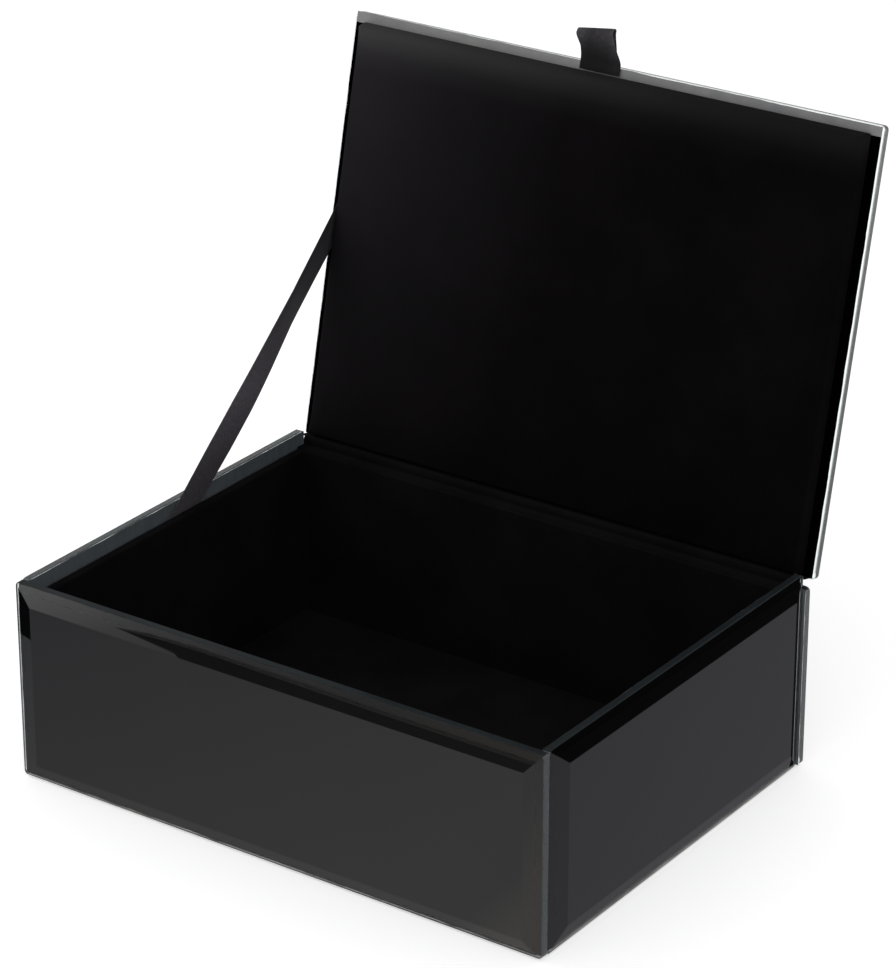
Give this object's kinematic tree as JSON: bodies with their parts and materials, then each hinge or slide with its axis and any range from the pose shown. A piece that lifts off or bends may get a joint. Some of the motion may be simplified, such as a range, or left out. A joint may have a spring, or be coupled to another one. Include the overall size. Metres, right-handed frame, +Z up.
{
  "type": "trinket box",
  "caption": "Low rectangular trinket box of bevelled black glass, lined in velvet, with a padded lid on a cloth hinge, a ribbon stay and a ribbon pull tab.",
  "frame": {"origin": "centre of the felt's underside, on the table", "axes": "+Z up, -Y towards the front of the box, where the lid opens, +X to the right as seen from the front; the hinge runs along X at the back"},
  "size_m": [0.2016, 0.1888, 0.2187],
  "materials": {
    "black_glass": "glossy glass, painted black behind, ground edges",
    "board": "pressed board",
    "felt": "black felt",
    "velvet": "black velvet",
    "ribbon": "black satin ribbon",
    "foam": "soft foam sheet"
  },
  "bodies": {
    "box": {"front_glass": "black_glass", "back_glass": "black_glass", "left_glass": "black_glass", "right_glass": "black_glass", "front_board": "board", "back_board": "board", "left_board": "board", "right_board": "board", "base_board": "board", "base_felt": "felt", "front_lining": "velvet", "back_lining": "velvet", "left_lining": "velvet", "right_lining": "velvet", "floor_lining": "velvet", "hinge_cloth": "velvet", "stay_ribbon": "ribbon"},
    "lid": {"lid_glass": "black_glass", "lid_board": "board", "lid_foam": "foam", "lid_cover": "velvet", "pull_tab": "ribbon"}
  },
  "joints": [
    {"name": "lid_hinge", "type": "hinge", "parent": "box", "child": "lid", "pos_m": [0, 0.0722, 0.065], "axis": [1, 0, 0], "range_deg": [0, 102.8], "deforming": ["hinge_cloth", "stay_ribbon", "pull_tab"]}
  ]
}
